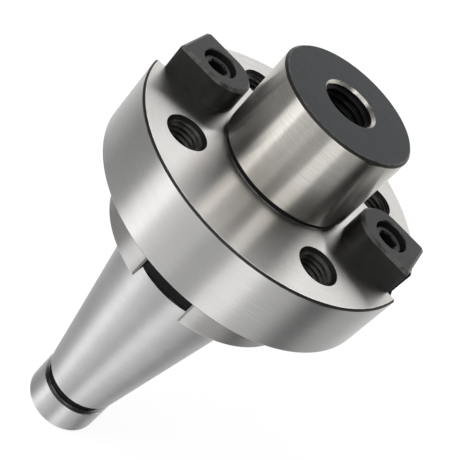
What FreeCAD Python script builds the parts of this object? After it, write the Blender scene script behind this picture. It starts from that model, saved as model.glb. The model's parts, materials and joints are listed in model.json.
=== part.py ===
# Milling arbor for large face mills: a 7/24 taper shank of size 50 with a drawbar thread, a slotted
# collar for the spindle's drive keys, a wide ground flange with four cutter bolt holes, two bolted
# drive keys and a short centring pilot.
# Millimetres. +Z runs along the axis from the drawbar end to the pilot, and z = 0 is the gauge plane.
# The drive keys lie along X and the slots for the spindle's keys along Y.
import FreeCAD
import Part
import math
import os
import PartDesign
import Sketcher

# Driving sizes: name, value, what it is
SIZES = [
    ("gauge_diameter", 69.85, "taper diameter in the gauge plane"),
    ("taper_rise", 7.0, "the diameter changes by this much"),
    ("taper_run", 24.0, "over this length of taper"),
    ("taper_length", 101.8, "gauge plane to the small end of the taper"),
    ("taper_overrun", 0.5, "ground taper left on the large side of the gauge plane"),
    ("neck_diameter", 68.6, "relief between the taper and the collar"),
    ("groove_length", 7.0, "turned groove behind the taper"),
    ("groove_diameter", 35.0, "bottom of that groove"),
    ("tail_length", 18.0, "plain end behind the groove"),
    ("tail_diameter", 39.6, "plain end"),
    ("tail_chamfer", 1.6, "edge of the drawbar end"),
    ("drawbar_core", 22.2, "core of the 1 inch drawbar thread"),
    ("drawbar_depth", 57.0, "full core of the drawbar thread"),
    ("drawbar_mouth", 1.9, "chamfer at the mouth of the drawbar thread"),
    ("collar_start", 7.0, "gauge plane to the back of the collar"),
    ("collar_diameter", 101.6, "collar that carries the slots"),
    ("collar_length", 27.25, "back of the collar to the back of the flange"),
    ("collar_chamfer", 0.8, "back edge of the collar"),
    ("slot_width", 25.7, "slot for a 25.4 spindle key"),
    ("slot_floor", 35.3, "axis to the floor of the slot"),
    ("slot_length", 22.0, "slot, from the back of the collar"),
    ("slot_bevel", 1.2, "bevel on the slot's long outer edges"),
    ("flange_diameter", 139.7, "ground flange"),
    ("flange_length", 31.75, "thickness of the flange"),
    ("flange_chamfer", 0.9, "both edges of the flange"),
    ("pilot_diameter", 63.5, "pilot that centres the cutter"),
    ("pilot_length", 40.7, "flange face to the end of the pilot"),
    ("pilot_chamfer", 1.1, "edge of the pilot's end"),
    ("undercut_length", 2.4, "grinding relief at the root of the pilot"),
    ("undercut_depth", 0.7, "depth of that relief"),
    ("centre_core", 21.0, "core of the thread in the pilot's end"),
    ("centre_depth", 32.0, "full core of the thread in the pilot's end"),
    ("centre_mouth", 2.1, "chamfer at the mouth of that thread"),
    ("drill_angle", 118.0, "point angle of every drilled hole"),
    ("bolt_circle", 101.6, "circle of the four cutter bolts"),
    ("bolt_angle", 45.0, "first cutter bolt, turned from the drive key"),
    ("bolt_core", 13.5, "core of the five eighths inch bolt threads"),
    ("bolt_depth", 24.0, "full core of those threads"),
    ("bolt_mouth", 18.6, "countersunk mouth of those threads"),
    ("mouth_angle", 90.0, "full angle of that countersink"),
    ("key_width", 25.4, "drive key, side to side"),
    ("key_rise", 12.7, "drive key above the flange face"),
    ("key_inset", 5.65, "rim of the flange to the outer end of a drive key"),
    ("key_gap", 2.1, "pilot to the rounded inner end of a drive key"),
    ("key_bevel", 0.8, "top edges of a drive key"),
    ("seat_depth", 12.7, "slot in the flange face that holds a drive key, open at the rim"),
    ("seat_clearance", 0.02, "key to the wall of its slot"),
    ("screw_reach", 49.5, "axis to a key screw"),
    ("screw_thread", 9.5, "key screw, outside of the thread"),
    ("screw_length", 25.4, "key screw under its head"),
    ("screw_head", 14.3, "key screw, head diameter"),
    ("screw_head_height", 9.5, "key screw, height of the head"),
    ("screw_head_bevel", 0.7, "key screw, top edge of the head"),
    ("socket_width", 7.94, "hexagon socket, across flats"),
    ("socket_depth", 5.0, "hexagon socket"),
    ("head_recess", 2.4, "top of the head below the top of the key"),
    ("counterbore", 15.9, "counterbore in the key"),
    ("screw_clearance", 0.25, "key screw to the bore in the key, on the radius"),
    ("thread_clearance", 0.02, "key screw to the bore in the flange, on the radius"),
    ("tapped_spare", 2.0, "tapped bore beyond the end of the key screw"),
]

BOLT_COUNT = 4
KEY_COUNT = 2
SOCKET_SIDES = 6
FULL_TURN = 360
SAME_HEIGHT = 1e-6

doc = FreeCAD.newDocument("milling_arbor")


class Size:
    """A length that carries its value and the sheet formula that a sketch or feature is bound to."""

    def __init__(self, value, formula):
        self.value = float(value)
        self.formula = formula

    def __add__(self, other):
        other = as_size(other)
        return Size(self.value + other.value, f"({self.formula} + {other.formula})")

    def __sub__(self, other):
        other = as_size(other)
        return Size(self.value - other.value, f"({self.formula} - {other.formula})")

    def __mul__(self, other):
        other = as_size(other)
        return Size(self.value * other.value, f"({self.formula} * {other.formula})")

    def __truediv__(self, other):
        other = as_size(other)
        return Size(self.value / other.value, f"({self.formula} / {other.formula})")

    def __neg__(self):
        return Size(-self.value, f"(0 - {self.formula})")


def as_size(number):
    """A plain number as a Size, and a Size as itself."""
    return number if isinstance(number, Size) else Size(number, repr(float(number)))


def root(size):
    """Square root of a Size."""
    return Size(math.sqrt(size.value), f"sqrt({size.formula})")


def half_tangent(angle):
    """Tangent of half an angle that is given in degrees."""
    return Size(math.tan(math.radians(angle.value / 2)), f"tan({angle.formula} / 2 * 1 deg)")


def cosine(angle):
    """Cosine of an angle that is given in degrees."""
    return Size(math.cos(math.radians(angle.value)), f"cos({angle.formula} * 1 deg)")


def sine(angle):
    """Sine of an angle that is given in degrees."""
    return Size(math.sin(math.radians(angle.value)), f"sin({angle.formula} * 1 deg)")


def make_sheet():
    """Write the driving sizes into the spreadsheet and return them by name."""
    sheet = doc.addObject("Spreadsheet::Sheet", "Sizes")
    sizes = {}
    for row, (name, value, note) in enumerate(SIZES, start=1):
        sheet.set(f"A{row}", name)
        sheet.set(f"B{row}", str(value))
        sheet.set(f"C{row}", note)
        sheet.setAlias(f"B{row}", name)
        sizes[name] = Size(value, f"Sizes.{name}")
    doc.recompute()
    return sizes


def bind(feature, **settings):
    """Tie properties of a feature to Sizes."""
    for name, size in settings.items():
        size = as_size(size)
        setattr(feature, name, size.value)
        feature.setExpression(name, size.formula)


def origin_item(body, role):
    """One of a body's own origin planes or axes."""
    return next(item for item in body.Origin.OriginFeatures if item.Role == role)


def new_sketch(body, name, role, height=None):
    """An empty sketch on an origin plane of the body, lifted by a height along its normal."""
    sketch = body.newObject("Sketcher::SketchObject", name)
    sketch.AttachmentSupport = [(origin_item(body, role), "")]
    sketch.MapMode = "FlatFace"
    if height is not None:
        sketch.setExpression("AttachmentOffset.Base.z", height.formula)
    return sketch


def constrain(sketch, kind, *numbers):
    """Add one constraint. When it ends in a Size, it is bound to that Size's formula."""
    if isinstance(numbers[-1], Size):
        size = numbers[-1]
        index = sketch.addConstraint(Sketcher.Constraint(kind, *numbers[:-1], size.value))
        sketch.setExpression(f"Constraints[{index}]", size.formula)
    else:
        sketch.addConstraint(Sketcher.Constraint(kind, *numbers))


def draw_outline(sketch, corners):
    """Draw a closed outline of straight lines, each corner held at its own two Sizes."""
    places = [(as_size(across), as_size(up)) for across, up in corners]
    vectors = [FreeCAD.Vector(across.value, up.value, 0) for across, up in places]
    for index, start in enumerate(vectors):
        end = vectors[(index + 1) % len(vectors)]
        sketch.addGeometry(Part.LineSegment(start, end), False)
    for index in range(len(places)):
        constrain(sketch, "Coincident", index - 1 if index else len(places) - 1, 2, index, 1)
    for index, (across, up) in enumerate(places):
        if across.value == 0:
            constrain(sketch, "PointOnObject", index, 1, -2)
        else:
            constrain(sketch, "DistanceX", -1, 1, index, 1, across)
        if up.value == 0:
            constrain(sketch, "PointOnObject", index, 1, -1)
        else:
            constrain(sketch, "DistanceY", -1, 1, index, 1, up)


def draw_key_outline(sketch, width, tip, reach):
    """Draw a drive key from above: square outer end at reach, full round inner end at tip."""
    centre = tip + width / 2
    half = width.value / 2
    inner_low = FreeCAD.Vector(centre.value, -half, 0)
    outer_low = FreeCAD.Vector(reach.value, -half, 0)
    outer_high = FreeCAD.Vector(reach.value, half, 0)
    inner_high = FreeCAD.Vector(centre.value, half, 0)
    low, end, high = 0, 1, 2
    sketch.addGeometry(Part.LineSegment(inner_low, outer_low), False)
    sketch.addGeometry(Part.LineSegment(outer_low, outer_high), False)
    sketch.addGeometry(Part.LineSegment(outer_high, inner_high), False)
    circle = Part.Circle(FreeCAD.Vector(centre.value, 0, 0), FreeCAD.Vector(0, 0, 1), half)
    arc = sketch.addGeometry(Part.ArcOfCircle(circle, math.pi / 2, math.pi * 3 / 2), False)
    constrain(sketch, "Coincident", low, 2, end, 1)
    constrain(sketch, "Coincident", end, 2, high, 1)
    constrain(sketch, "Tangent", high, 2, arc, 1)
    constrain(sketch, "Tangent", arc, 2, low, 1)
    constrain(sketch, "Horizontal", low)
    constrain(sketch, "Horizontal", high)
    constrain(sketch, "Vertical", end)
    constrain(sketch, "PointOnObject", arc, 3, -1)
    constrain(sketch, "DistanceX", -1, 1, arc, 3, centre)
    constrain(sketch, "DistanceX", -1, 1, end, 1, reach)
    constrain(sketch, "DistanceY", end, 1, end, 2, width)


def draw_hole_centre(sketch, across, up, diameter):
    """Draw one circle at a distance across and a distance up the sketch."""
    across, up = as_size(across), as_size(up)
    place = FreeCAD.Vector(across.value, up.value, 0)
    circle = sketch.addGeometry(Part.Circle(place, FreeCAD.Vector(0, 0, 1), diameter.value / 2), False)
    constrain(sketch, "DistanceX", -1, 1, circle, 3, across)
    if up.value == 0:
        constrain(sketch, "PointOnObject", circle, 3, -1)
    else:
        constrain(sketch, "DistanceY", -1, 1, circle, 3, up)
    constrain(sketch, "Diameter", circle, diameter)


def turn(body, name, corners, kind="Revolution"):
    """Turn a half section about Z: a Revolution adds it and a Groove cuts it away."""
    sketch = new_sketch(body, name + "_section", "XZ_Plane")
    draw_outline(sketch, corners)
    feature = body.newObject("PartDesign::" + kind, name)
    feature.Profile = sketch
    feature.ReferenceAxis = (sketch, ["V_Axis"])
    feature.Angle = FULL_TURN
    doc.recompute()
    return feature


def drill(body, name, sketch, diameter, depth, **cut):
    """Drill a blind hole down from a sketch, with a pointed end and an optional cut at its mouth."""
    doc.recompute()
    hole = body.newObject("PartDesign::Hole", name)
    hole.Profile = sketch
    hole.ThreadType = "None"
    hole.DepthType = "Dimension"
    hole.DrillPoint = "Angled"
    hole.DrillForDepth = False
    bind(hole, Diameter=diameter, Depth=depth, DrillPointAngle=sizes["drill_angle"])
    if cut:
        hole.HoleCutType = cut.pop("kind")
        hole.HoleCutCustomValues = True
        bind(hole, **cut)
    doc.recompute()
    return hole


def cut_pocket(body, name, sketch, depth, upward=False):
    """Cut a pocket from a sketch, down into the body or upward."""
    pocket = body.newObject("PartDesign::Pocket", name)
    pocket.Profile = sketch
    pocket.Reversed = upward
    bind(pocket, Length=depth)
    doc.recompute()
    return pocket


def repeat_round(body, name, features, count):
    """Repeat features evenly about Z."""
    pattern = body.newObject("PartDesign::PolarPattern", name)
    pattern.Originals = features
    pattern.Axis = (origin_item(body, "Z_Axis"), [""])
    pattern.Angle = FULL_TURN
    pattern.Occurrences = count
    body.Tip = pattern
    doc.recompute()
    return pattern


def make_turned_body(body):
    """The whole turned outline in one section, from the drawbar end up to the pilot's end."""
    drop = sizes["taper_rise"] / sizes["taper_run"] / 2
    gauge = sizes["gauge_diameter"] / 2
    tail = sizes["tail_diameter"] / 2
    groove = sizes["groove_diameter"] / 2
    neck = sizes["neck_diameter"] / 2
    collar = sizes["collar_diameter"] / 2
    flange = sizes["flange_diameter"] / 2
    pilot = sizes["pilot_diameter"] / 2
    undercut = pilot - sizes["undercut_depth"]
    corners = [
        (0, tail_end),
        (tail - sizes["tail_chamfer"], tail_end),
        (tail, tail_end + sizes["tail_chamfer"]),
        (tail, tail_top),
        (groove, tail_top),
        (groove, taper_end),
        (gauge + drop * taper_end, taper_end),
        (gauge + drop * sizes["taper_overrun"], sizes["taper_overrun"]),
        (neck, sizes["taper_overrun"]),
        (neck, collar_back),
        (collar - sizes["collar_chamfer"], collar_back),
        (collar, collar_back + sizes["collar_chamfer"]),
        (collar, flange_back),
        (flange - sizes["flange_chamfer"], flange_back),
        (flange, flange_back + sizes["flange_chamfer"]),
        (flange, flange_face - sizes["flange_chamfer"]),
        (flange - sizes["flange_chamfer"], flange_face),
        (undercut, flange_face),
        (undercut, flange_face + sizes["undercut_length"]),
        (pilot, flange_face + sizes["undercut_length"]),
        (pilot, pilot_end - sizes["pilot_chamfer"]),
        (pilot - sizes["pilot_chamfer"], pilot_end),
        (0, pilot_end),
    ]
    return turn(body, "turned_outline", corners)


def make_centre_bores(body):
    """The drawbar thread's core in the tail and the thread's core in the pilot's end."""
    point = half_tangent(sizes["drill_angle"])
    core = sizes["drawbar_core"] / 2
    mouth = core + sizes["drawbar_mouth"]
    bottom = tail_end + sizes["drawbar_depth"]
    drawbar = [
        (0, tail_end),
        (mouth, tail_end),
        (core, tail_end + sizes["drawbar_mouth"]),
        (core, bottom),
        (0, bottom + core / point),
    ]
    turn(body, "drawbar_bore", drawbar, "Groove")
    core = sizes["centre_core"] / 2
    mouth = core + sizes["centre_mouth"]
    bottom = pilot_end - sizes["centre_depth"]
    centre = [
        (0, pilot_end),
        (mouth, pilot_end),
        (core, pilot_end - sizes["centre_mouth"]),
        (core, bottom),
        (0, bottom - core / point),
    ]
    turn(body, "centre_bore", centre, "Groove")


def make_drive_slots(body):
    """Two slots in the collar for the spindle's keys, with bevelled long edges."""
    half = sizes["slot_width"] / 2
    collar = sizes["collar_diameter"] / 2
    edge = root(collar * collar - half * half) - sizes["slot_bevel"]
    # The bevels run on outwards past the collar, so that the cut leaves no skin
    spread = collar - edge + sizes["slot_bevel"]
    outline = [
        (-half, sizes["slot_floor"]),
        (half, sizes["slot_floor"]),
        (half, edge),
        (half + spread, edge + spread),
        (-half - spread, edge + spread),
        (-half, edge),
    ]
    sketch = new_sketch(body, "slot_outline", "XY_Plane", collar_back)
    draw_outline(sketch, outline)
    slot = cut_pocket(body, "drive_slot", sketch, sizes["slot_length"], upward=True)
    repeat_round(body, "drive_slots", [slot], KEY_COUNT)


def make_bolt_holes(body):
    """Four countersunk bolt holes in the flange face, midway between the keys."""
    sketch = new_sketch(body, "bolt_centre", "XY_Plane", flange_face)
    reach = sizes["bolt_circle"] / 2
    angle = sizes["bolt_angle"]
    draw_hole_centre(sketch, reach * cosine(angle), reach * sine(angle), sizes["bolt_core"])
    hole = drill(
        body, "bolt_hole", sketch, sizes["bolt_core"], sizes["bolt_depth"],
        kind="Countersink", HoleCutDiameter=sizes["bolt_mouth"],
        HoleCutCountersinkAngle=sizes["mouth_angle"],
    )
    repeat_round(body, "bolt_holes", [hole], BOLT_COUNT)


def make_key_seats(body):
    """Two slots that hold the drive keys, each with the tapped bore of its screw."""
    clearance = sizes["seat_clearance"]
    # A slot is milled in from the rim, so it runs out there and ends round at its inner end
    runout = sizes["flange_diameter"] / 2 + sizes["key_inset"]
    sketch = new_sketch(body, "seat_outline", "XY_Plane", flange_face)
    draw_key_outline(sketch, sizes["key_width"] + clearance * 2, key_tip - clearance, runout)
    seat = cut_pocket(body, "key_seat", sketch, sizes["seat_depth"])
    diameter = sizes["screw_thread"] + sizes["thread_clearance"] * 2
    sketch = new_sketch(body, "tapped_centre", "XY_Plane", seat_floor)
    draw_hole_centre(sketch, sizes["screw_reach"], 0, diameter)
    depth = sizes["screw_length"] - (screw_seat - seat_floor) + sizes["tapped_spare"]
    tapped = drill(body, "tapped_bore", sketch, diameter, depth)
    repeat_round(body, "key_seats", [seat, tapped], KEY_COUNT)


def make_arbor():
    """The arbor itself: one turned, milled and drilled piece."""
    body = doc.addObject("PartDesign::Body", "arbor_body")
    body.Label = "arbor_body"
    make_turned_body(body)
    make_centre_bores(body)
    make_drive_slots(body)
    make_bolt_holes(body)
    make_key_seats(body)
    return body


def top_face(shape, height):
    """Name of the flat face that lies at a height."""
    for index, face in enumerate(shape.Faces, start=1):
        box = face.BoundBox
        if abs(box.ZMin - height) < SAME_HEIGHT and abs(box.ZMax - height) < SAME_HEIGHT:
            return f"Face{index}"
    raise ValueError("no face at this height")


def make_key(name, turned):
    """One drive key with its counterbored screw hole, turned about the axis to its place."""
    body = doc.addObject("PartDesign::Body", name)
    body.Label = name
    sketch = new_sketch(body, name + "_outline", "XY_Plane", seat_floor)
    draw_key_outline(sketch, sizes["key_width"], key_tip, key_reach)
    block = body.newObject("PartDesign::Pad", name + "_block")
    block.Profile = sketch
    bind(block, Length=key_top - seat_floor)
    doc.recompute()
    bevel = body.newObject("PartDesign::Chamfer", name + "_bevel")
    bevel.Base = (block, [top_face(block.Shape, key_top.value)])
    bind(bevel, Size=sizes["key_bevel"])
    doc.recompute()
    bore = sizes["screw_thread"] + sizes["screw_clearance"] * 2
    sketch = new_sketch(body, name + "_hole_centre", "XY_Plane", key_top)
    draw_hole_centre(sketch, sizes["screw_reach"], 0, bore)
    drill(
        body, name + "_hole", sketch, bore, (key_top - seat_floor) * 2,
        kind="Counterbore", HoleCutDiameter=sizes["counterbore"], HoleCutDepth=key_top - screw_seat,
    )
    turn_about_axis = FreeCAD.Rotation(FreeCAD.Vector(0, 0, 1), turned)
    body.Placement = FreeCAD.Placement(FreeCAD.Vector(0, 0, 0), turn_about_axis)
    return body


def make_screw(name, side):
    """One socket head cap screw, drawn from the underside of its head and set down in its key."""
    body = doc.addObject("PartDesign::Body", name)
    head = sizes["screw_head"] / 2
    shank = sizes["screw_thread"] / 2
    bevel = sizes["screw_head_bevel"]
    top = sizes["screw_head_height"]
    corners = [
        (0, -sizes["screw_length"]),
        (shank - bevel, -sizes["screw_length"]),
        (shank, -sizes["screw_length"] + bevel),
        (shank, 0),
        (head, 0),
        (head, top - bevel),
        (head - bevel, top),
        (0, top),
    ]
    turn(body, name + "_blank", corners)
    socket = body.newObject("PartDesign::SubtractivePrism", name + "_socket")
    socket.Polygon = SOCKET_SIDES
    socket.AttachmentSupport = [(origin_item(body, "XY_Plane"), "")]
    socket.MapMode = "FlatFace"
    socket.setExpression("AttachmentOffset.Base.z", (top - sizes["socket_depth"]).formula)
    corner = 2 * math.cos(math.pi / SOCKET_SIDES)
    bind(socket, Circumradius=sizes["socket_width"] / corner, Height=sizes["socket_depth"])
    body.Tip = socket
    bind_place(body, sizes["screw_reach"] * side, screw_seat)
    doc.recompute()
    return body


def bind_place(body, across, up):
    """Set a body down at a distance along X and a height, both tied to the sheet."""
    body.Placement = FreeCAD.Placement(FreeCAD.Vector(across.value, 0, up.value), FreeCAD.Rotation())
    body.setExpression("Placement.Base.x", across.formula)
    body.setExpression("Placement.Base.z", up.formula)


def make_key_screws():
    """Both key screws as one group of separate solids."""
    group = doc.addObject("Part::Compound", "key_screws")
    group.Label = "key_screws"
    group.Links = [make_screw("screw_right", 1), make_screw("screw_left", -1)]
    doc.recompute()
    return group


sizes = make_sheet()

# Heights along the axis and the places that pieces share
taper_end = -sizes["taper_length"]
tail_top = taper_end - sizes["groove_length"]
tail_end = tail_top - sizes["tail_length"]
collar_back = sizes["collar_start"]
flange_back = collar_back + sizes["collar_length"]
flange_face = flange_back + sizes["flange_length"]
pilot_end = flange_face + sizes["pilot_length"]
key_tip = sizes["pilot_diameter"] / 2 + sizes["key_gap"]
key_reach = sizes["flange_diameter"] / 2 - sizes["key_inset"]
key_top = flange_face + sizes["key_rise"]
seat_floor = flange_face - sizes["seat_depth"]
screw_seat = key_top - sizes["head_recess"] - sizes["screw_head_height"]

pieces = [
    make_arbor(),
    make_key("drive_key_right", 0),
    make_key("drive_key_left", 180),
    make_key_screws(),
]
doc.recompute()

for item in doc.Objects:
    if "Invalid" in item.State or "Error" in item.State:
        raise RuntimeError(f"{item.Label} did not compute: {item.State}")

os.makedirs("parts", exist_ok=True)
for piece in pieces:
    shape = piece.Shape
    if shape.isNull() or not shape.isValid():
        raise RuntimeError(f"{piece.Label} has no valid shape")
    shape.exportStep(f"parts/{piece.Label}.step")
    print(piece.Label, len(shape.Solids), "solids", round(shape.Volume), "mm3")
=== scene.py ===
# %% [markdown]
# # A milling arbor in ground and blackened steel
#
# The real thing is turned from one bar of steel, hardened, ground bright where it has to fit and left
# black where it doesn't. A 7/24 taper fits the machine's spindle. Above it, as it stands here, come a
# slotted collar and a wide flange, and then the two black keys and the short pilot that carry a cutter.
#
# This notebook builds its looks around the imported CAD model, which is the fixed frame. Every length is
# in millimetres in the real part's own frame: Z runs along the axis and z = 0 is the gauge plane.

# %% The frame and the unit
import json
import math

import bpy
import numpy as np
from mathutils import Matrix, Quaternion, Vector

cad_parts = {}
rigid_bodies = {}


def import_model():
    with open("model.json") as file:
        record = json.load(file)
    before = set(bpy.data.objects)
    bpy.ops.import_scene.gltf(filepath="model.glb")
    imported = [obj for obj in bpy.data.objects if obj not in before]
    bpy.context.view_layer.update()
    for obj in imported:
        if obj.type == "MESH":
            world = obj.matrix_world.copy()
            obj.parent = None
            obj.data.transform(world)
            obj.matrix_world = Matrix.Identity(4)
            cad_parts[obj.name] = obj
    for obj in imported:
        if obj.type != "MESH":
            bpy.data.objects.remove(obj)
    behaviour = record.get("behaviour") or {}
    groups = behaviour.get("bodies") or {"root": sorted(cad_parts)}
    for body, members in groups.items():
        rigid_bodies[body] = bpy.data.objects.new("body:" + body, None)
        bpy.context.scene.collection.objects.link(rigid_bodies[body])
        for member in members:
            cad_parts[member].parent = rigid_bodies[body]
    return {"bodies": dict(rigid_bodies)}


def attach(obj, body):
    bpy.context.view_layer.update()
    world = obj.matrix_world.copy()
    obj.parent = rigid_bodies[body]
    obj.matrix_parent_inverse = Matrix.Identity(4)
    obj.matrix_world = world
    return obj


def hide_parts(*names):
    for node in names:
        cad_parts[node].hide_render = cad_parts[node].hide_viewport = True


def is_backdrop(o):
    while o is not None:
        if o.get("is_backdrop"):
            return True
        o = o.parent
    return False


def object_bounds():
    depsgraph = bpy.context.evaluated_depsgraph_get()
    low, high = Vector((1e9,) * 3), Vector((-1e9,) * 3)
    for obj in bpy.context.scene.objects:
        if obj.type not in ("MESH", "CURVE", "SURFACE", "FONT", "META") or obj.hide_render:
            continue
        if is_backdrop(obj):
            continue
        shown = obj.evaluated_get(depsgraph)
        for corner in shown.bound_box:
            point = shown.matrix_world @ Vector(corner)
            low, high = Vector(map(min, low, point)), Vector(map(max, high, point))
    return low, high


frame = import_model()
cad_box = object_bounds()
MM = 0.001
BODY = "root" if "root" in frame["bodies"] else sorted(frame["bodies"])[0]

# %% [markdown]
# ## The camera
#
# The photograph was taken from about 430 mm away with a short telephoto lens, 34 degrees above the
# flange's face, and turned so that the axis runs up to the right. A camera can be placed by eye and
# nudged, but a place, an aim point and a roll angle say the same thing in numbers that can be read.

# %% Place the camera
CAMERA_PLACE = (13.0, -353.1, 264.5)
CAMERA_AIM = (0.1, 0.0, 23.0)
CAMERA_ROLL = 44.4
CAMERA_LENS = 76.25
CAMERA_SENSOR = 36.0
NEAREST_SEEN = 10.0


def place_camera():
    """Look from the place to the aim point, then roll about the line of sight by the roll angle."""
    camera = bpy.data.objects.new("camera", bpy.data.cameras.new("camera"))
    bpy.context.scene.collection.objects.link(camera)
    place, aim = Vector(CAMERA_PLACE) * MM, Vector(CAMERA_AIM) * MM
    level = (aim - place).to_track_quat("-Z", "Y")
    roll = Quaternion((0, 0, 1), math.radians(CAMERA_ROLL))
    camera.location = place
    camera.rotation_mode = "QUATERNION"
    camera.rotation_quaternion = level @ roll
    camera.data.lens = CAMERA_LENS
    camera.data.sensor_width = CAMERA_SENSOR
    camera.data.clip_start = NEAREST_SEEN * MM
    bpy.context.scene.camera = camera


place_camera()
print("camera stands", round((Vector(CAMERA_PLACE) - Vector(CAMERA_AIM)).length), "mm from its aim point")

# %% [markdown]
# ## Surfaces as rings of points
#
# Nearly everything on an arbor comes off a lathe or follows an outline, so every surface here is a stack
# of closed rings. Neighbouring rings are joined by four-sided faces. One array holds all the points of a
# surface, as ring, place on the ring, and X, Y, Z, and numpy works it out in one go.
#
# The other way is to place Blender's own cylinders and edit them. Rings give the same surfaces with
# every radius and height in sight.

# %% Rings into faces
def skin(rings, finish=0, closed=False):
    """Faces over a stack of rings: points, blocks of faces and the finish number of each face.

    rings[i, j] is point j of ring i. Face (i, j) joins places j and j + 1 of rings i and i + 1. A stack
    that isn't closed on itself gets a flat many-sided face at each end. finish is one number, a column
    with one number for each gap between rings, or a row with one for each place."""
    rings = np.asarray(rings, float)
    count, around = rings.shape[:2]
    gaps = count if closed else count - 1
    here = np.arange(gaps)[:, None] * around
    above = (np.arange(1, gaps + 1) % count)[:, None] * around
    place = np.arange(around)[None, :]
    after = (place + 1) % around
    quads = np.stack([here + place, here + after, above + after, above + place], -1).reshape(-1, 4)
    finishes = np.broadcast_to(finish, (gaps, around)).ravel()
    blocks = [quads]
    if not closed:
        blocks.append(np.stack([np.arange(around)[::-1], np.arange(around) + (count - 1) * around]))
        finishes = np.concatenate([finishes, finishes[:1], finishes[-1:]])
    return rings.reshape(-1, 3), blocks, finishes


# %% Faces into a piece
SHARP_ANGLE = 30.0


def smooth_off(mesh):
    """Shade a mesh smooth, with hard edges where two faces turn by more than SHARP_ANGLE."""
    mesh.polygons.foreach_set("use_smooth", np.ones(len(mesh.polygons), bool))
    mesh.update()
    mesh.set_sharp_from_angle(angle=math.radians(SHARP_ANGLE))


def make_piece(name, skins, finishes):
    """One object from several skins, in metres, smooth except where faces meet at a sharp angle."""
    points = np.concatenate([skin_points for skin_points, _, _ in skins])
    numbers = np.concatenate([skin_numbers for _, _, skin_numbers in skins])
    starts = np.cumsum([0] + [len(skin_points) for skin_points, _, _ in skins])
    faces = []
    for start, (_, blocks, _) in zip(starts, skins):
        for block in blocks:
            faces += (block + start).tolist()
    mesh = bpy.data.meshes.new(name)
    mesh.from_pydata((points * MM).tolist(), [], faces)
    for finish in finishes:
        mesh.materials.append(finish)
    mesh.polygons.foreach_set("material_index", numbers.astype(np.int32))
    smooth_off(mesh)
    piece = bpy.data.objects.new(name, mesh)
    bpy.context.scene.collection.objects.link(piece)
    return piece


def measure(piece):
    """Print how many triangles a piece has and how many of its edges lack exactly two faces."""
    mesh = piece.data
    triangles = len(mesh.loops) - 2 * len(mesh.polygons)
    edge_of_corner = np.zeros(len(mesh.loops), np.int32)
    mesh.loops.foreach_get("edge_index", edge_of_corner)
    faces_at_edge = np.bincount(edge_of_corner, minlength=len(mesh.edges))
    print(f"{piece.name}: {triangles} triangles, {int((faces_at_edge != 2).sum())} open or crowded edges")


# %% Rings round the axis
def angles(around):
    """The angle of each place on a ring, from 0 round to just short of a whole turn."""
    return np.linspace(0, 2 * np.pi, around, endpoint=False)


def turned(radius, height, around):
    """Rings of a turned surface: each radius and height carried round the Z axis.

    Point j of ring i is (radius cos angle j, radius sin angle j, height). Height is a column with one
    number for each ring. So is radius, unless it changes round the ring: then it has a column for each
    place."""
    angle = angles(around)
    return np.stack([radius * np.cos(angle), radius * np.sin(angle), height + 0 * angle], -1)


# %% [markdown]
# ## Broken edges
#
# A turned part has no perfectly sharp corner. Its edges are stoned to a small radius, and that radius is
# what catches a line of light. Blender's Bevel modifier could round the finished mesh, but it has
# trouble where many cuts meet, so the outline is rounded before it is turned.

# %% Round the corners of an outline
EDGE_RADIUS = 0.22
EDGE_STEPS = 5
EDGE_SUPPORT = 0.12
CORNER_ROOM, BRACE_ROOM = 0.4, 1.2


def break_edges(corners):
    """Swap each inner corner for a short curve: the new points and the run that each gap belongs to.

    The curve is the quadratic mix (1-t)^2 A + 2t(1-t) P + t^2 B of the corner P and the two points A and
    B at EDGE_RADIUS before and after it, or at CORNER_ROOM of the shorter run where that is less. One
    more point beyond A and B holds the flat run flat."""
    corners = np.asarray(corners, float)
    steps = np.diff(corners, axis=0)
    lengths = np.linalg.norm(steps, axis=1, keepdims=True)
    ways = steps / lengths
    room = CORNER_ROOM * np.minimum(lengths[:-1], lengths[1:])
    taken = np.minimum(EDGE_RADIUS, room)
    brace = np.minimum(taken + EDGE_SUPPORT, BRACE_ROOM * room)
    corner, before, after = corners[1:-1, None], -ways[:-1, None], ways[1:, None]
    mix = np.linspace(0, 1, EDGE_STEPS)[None, :, None]
    first, last = corner + before * taken[:, None], corner + after * taken[:, None]
    curve = (1 - mix) ** 2 * first + 2 * mix * (1 - mix) * corner + mix**2 * last
    lead, trail = corner + before * brace[:, None], corner + after * brace[:, None]
    rounded = np.concatenate([lead, curve, trail], 1)
    points = np.concatenate([corners[:1], rounded.reshape(-1, 2), corners[-1:]])
    per_corner = EDGE_STEPS + 2
    before_half = 1 + EDGE_STEPS // 2
    runs = np.repeat(np.arange(len(corners) - 2), per_corner).reshape(-1, per_corner)
    runs[:, before_half:] += 1
    return points, np.concatenate([[0], runs.ravel()])


# %% [markdown]
# ## Colours and nodes
#
# Colours are written as the hex values that a screen shows, and one function turns them into the linear
# numbers that Blender calculates with. Two more clear a node tree and add one node to it, with its
# settings and links, so that a material below reads as a list of what it is made of.

# %% Hex colours, and one node at a time
def linear(code):
    """An sRGB hex colour as linear red, green, blue and alpha.

    The sRGB curve is c / 12.92 close to black and ((c + 0.055) / 1.055) ^ 2.4 above that."""
    screen = np.array([int(code[i:i + 2], 16) for i in (1, 3, 5)]) / 255
    light = np.where(screen <= 0.04045, screen / 12.92, ((screen + 0.055) / 1.055) ** 2.4)
    return (*light.tolist(), 1.0)


def empty_tree(owner):
    """The node tree of a material or a world, switched on and cleared."""
    owner.use_nodes = True
    owner.node_tree.nodes.clear()
    return owner.node_tree


def add(tree, kind, inputs=None, **settings):
    """Add one node. Settings go on the node, and inputs on its sockets as a value or as a link."""
    made = tree.nodes.new(kind)
    for name, value in settings.items():
        setattr(made, name, value)
    for name, value in (inputs or {}).items():
        if isinstance(value, bpy.types.NodeSocket):
            tree.links.new(value, made.inputs[name])
        else:
            made.inputs[name].default_value = value
    return made


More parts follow.
